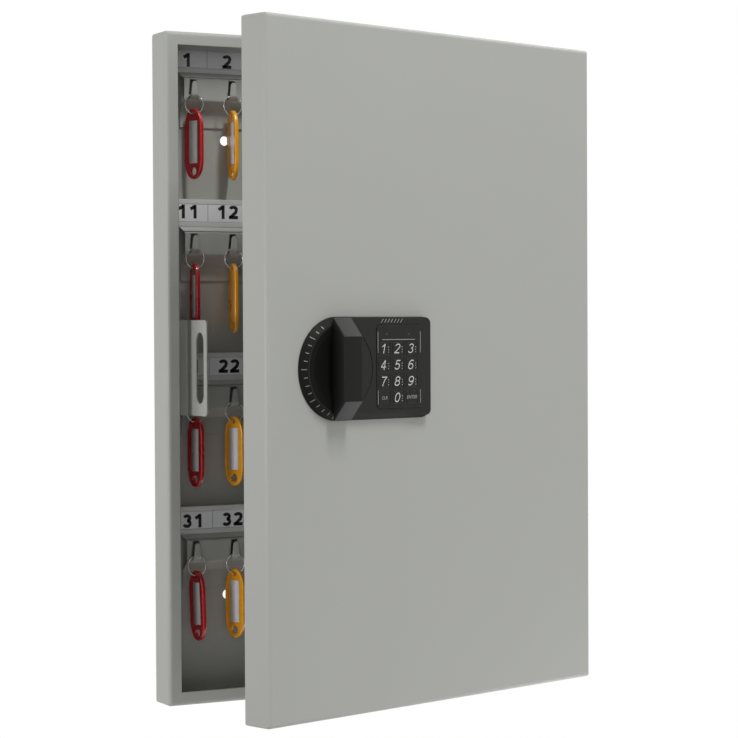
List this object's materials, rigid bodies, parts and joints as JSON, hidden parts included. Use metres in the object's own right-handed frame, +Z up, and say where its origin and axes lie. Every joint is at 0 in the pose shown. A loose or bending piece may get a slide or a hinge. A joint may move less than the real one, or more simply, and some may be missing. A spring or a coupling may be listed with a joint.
{
  "type": "key cabinet",
  "caption": "Wall cabinet for keys: shallow steel box with rows of numbered hooks, key tags on rings, and a hinged door with a turning knob and keypad lock.",
  "frame": {"origin": "middle of the cabinet's back, on the face that lies on the wall", "axes": "+X to the right as a user faces the door, +Y into the wall, +Z up"},
  "size_m": [0.3881, 0.1688, 0.55],
  "materials": {
    "paint": "light grey powder coat, satin",
    "label_plastic": "grey plastic channel",
    "black_plastic": "black, satin",
    "steel": "plated",
    "board": "green board",
    "battery_wrap": "wrapped cell",
    "red_plastic": "red, glossy",
    "yellow_plastic": "orange yellow, glossy"
  },
  "bodies": {
    "cabinet": {"cabinet_body": "paint", "hook_rail_1": "paint", "hook_rail_2": "paint", "hook_rail_3": "paint", "hook_rail_4": "paint", "label_strip_1": "label_plastic", "label_strip_2": "label_plastic", "label_strip_3": "label_plastic", "label_strip_4": "label_plastic", "strike_bracket": "paint", "hinge_leaf_frame_upper": "paint", "hinge_leaf_frame_lower": "paint", "hinge_pin_upper": "steel", "hinge_pin_lower": "steel"},
    "door": {"door_panel": "paint", "hinge_leaf_door_upper": "paint", "hinge_leaf_door_lower": "paint", "lock_housing": "black_plastic", "keypad_panel": "black_plastic", "lock_case": "black_plastic", "circuit_board": "board", "solenoid": "steel", "battery_tray": "black_plastic", "battery_1": "battery_wrap", "battery_2": "battery_wrap", "battery_3": "battery_wrap", "battery_4": "battery_wrap"},
    "knob_body": {"knob": "black_plastic", "spindle": "steel", "bolt_cam": "steel"},
    "bolt": {"lock_bolt": "steel"},
    "cover": {"battery_cover": "black_plastic"},
    "button_1": {"key_1": "black_plastic"},
    "button_2": {"key_2": "black_plastic"},
    "button_3": {"key_3": "black_plastic"},
    "button_4": {"key_4": "black_plastic"},
    "button_5": {"key_5": "black_plastic"},
    "button_6": {"key_6": "black_plastic"},
    "button_7": {"key_7": "black_plastic"},
    "button_8": {"key_8": "black_plastic"},
    "button_9": {"key_9": "black_plastic"},
    "button_clear": {"key_clear": "black_plastic"},
    "button_0": {"key_0": "black_plastic"},
    "button_enter": {"key_enter": "black_plastic"},
    "tag_1_1": {"key_ring_1_1": "steel", "key_tag_1_1": "red_plastic"},
    "tag_1_2": {"key_ring_1_2": "steel", "key_tag_1_2": "yellow_plastic"},
    "tag_2_1": {"key_ring_2_1": "steel", "key_tag_2_1": "red_plastic"},
    "tag_2_2": {"key_ring_2_2": "steel", "key_tag_2_2": "yellow_plastic"},
    "tag_3_1": {"key_ring_3_1": "steel", "key_tag_3_1": "red_plastic"},
    "tag_3_2": {"key_ring_3_2": "steel", "key_tag_3_2": "yellow_plastic"},
    "tag_4_1": {"key_ring_4_1": "steel", "key_tag_4_1": "red_plastic"},
    "tag_4_2": {"key_ring_4_2": "steel", "key_tag_4_2": "yellow_plastic"}
  },
  "joints": [
    {"name": "door_hinge", "type": "hinge", "parent": "cabinet", "child": "door", "pos_m": [0.194, -0.03025, 0], "axis": [0, 0, 1], "range_deg": [-16.5, 103.5]},
    {"name": "knob_turn", "type": "hinge", "parent": "door", "child": "knob_body", "pos_m": [-0.09404, -0.15286, 0.001], "axis": [0.284, -0.9588, 0], "range_deg": [0, 90]},
    {"name": "bolt_slide", "type": "slide", "parent": "door", "child": "bolt", "axis": [-0.9588, -0.284, 0], "range_m": [0, 0.01273]},
    {"name": "cover_slide", "type": "slide", "parent": "door", "child": "cover", "axis": [0.9588, 0.284, 0], "range_m": [0, 0.04]},
    {"name": "press_1", "type": "slide", "parent": "door", "child": "button_1", "axis": [-0.284, 0.9588, 0], "range_m": [0, 0.0006], "stiffness_N_per_m": 400},
    {"name": "press_2", "type": "slide", "parent": "door", "child": "button_2", "axis": [-0.284, 0.9588, 0], "range_m": [0, 0.0006], "stiffness_N_per_m": 400},
    {"name": "press_3", "type": "slide", "parent": "door", "child": "button_3", "axis": [-0.284, 0.9588, 0], "range_m": [0, 0.0006], "stiffness_N_per_m": 400},
    {"name": "press_4", "type": "slide", "parent": "door", "child": "button_4", "axis": [-0.284, 0.9588, 0], "range_m": [0, 0.0006], "stiffness_N_per_m": 400},
    {"name": "press_5", "type": "slide", "parent": "door", "child": "button_5", "axis": [-0.284, 0.9588, 0], "range_m": [0, 0.0006], "stiffness_N_per_m": 400},
    {"name": "press_6", "type": "slide", "parent": "door", "child": "button_6", "axis": [-0.284, 0.9588, 0], "range_m": [0, 0.0006], "stiffness_N_per_m": 400},
    {"name": "press_7", "type": "slide", "parent": "door", "child": "button_7", "axis": [-0.284, 0.9588, 0], "range_m": [0, 0.0006], "stiffness_N_per_m": 400},
    {"name": "press_8", "type": "slide", "parent": "door", "child": "button_8", "axis": [-0.284, 0.9588, 0], "range_m": [0, 0.0006], "stiffness_N_per_m": 400},
    {"name": "press_9", "type": "slide", "parent": "door", "child": "button_9", "axis": [-0.284, 0.9588, 0], "range_m": [0, 0.0006], "stiffness_N_per_m": 400},
    {"name": "press_clear", "type": "slide", "parent": "door", "child": "button_clear", "axis": [-0.284, 0.9588, 0], "range_m": [0, 0.0006], "stiffness_N_per_m": 400},
    {"name": "press_0", "type": "slide", "parent": "door", "child": "button_0", "axis": [-0.284, 0.9588, 0], "range_m": [0, 0.0006], "stiffness_N_per_m": 400},
    {"name": "press_enter", "type": "slide", "parent": "door", "child": "button_enter", "axis": [-0.284, 0.9588, 0], "range_m": [0, 0.0006], "stiffness_N_per_m": 400},
    {"name": "swing_1_1", "type": "hinge", "parent": "cabinet", "child": "tag_1_1", "pos_m": [-0.1575, -0.0128, 0.22604], "axis": [-1, 0, 0], "range_deg": [0, 45]},
    {"name": "swing_1_2", "type": "hinge", "parent": "cabinet", "child": "tag_1_2", "pos_m": [-0.1225, -0.0128, 0.22604], "axis": [-1, 0, 0], "range_deg": [0, 45]},
    {"name": "swing_2_1", "type": "hinge", "parent": "cabinet", "child": "tag_2_1", "pos_m": [-0.1575, -0.0128, 0.09904], "axis": [-1, 0, 0], "range_deg": [0, 45]},
    {"name": "swing_2_2", "type": "hinge", "parent": "cabinet", "child": "tag_2_2", "pos_m": [-0.1225, -0.0128, 0.09904], "axis": [-1, 0, 0], "range_deg": [0, 45]},
    {"name": "swing_3_1", "type": "hinge", "parent": "cabinet", "child": "tag_3_1", "pos_m": [-0.1575, -0.0128, -0.02796], "axis": [-1, 0, 0], "range_deg": [0, 35]},
    {"name": "swing_3_2", "type": "hinge", "parent": "cabinet", "child": "tag_3_2", "pos_m": [-0.1225, -0.0128, -0.02796], "axis": [-1, 0, 0], "range_deg": [0, 45]},
    {"name": "swing_4_1", "type": "hinge", "parent": "cabinet", "child": "tag_4_1", "pos_m": [-0.1575, -0.0128, -0.15496], "axis": [-1, 0, 0], "range_deg": [0, 45]},
    {"name": "swing_4_2", "type": "hinge", "parent": "cabinet", "child": "tag_4_2", "pos_m": [-0.1225, -0.0128, -0.15496], "axis": [-1, 0, 0], "range_deg": [0, 45]}
  ],
  "couplings": [
    {"joint": "bolt_slide", "follows": "knob_turn", "m_per_rad": 0.0081028}
  ]
}
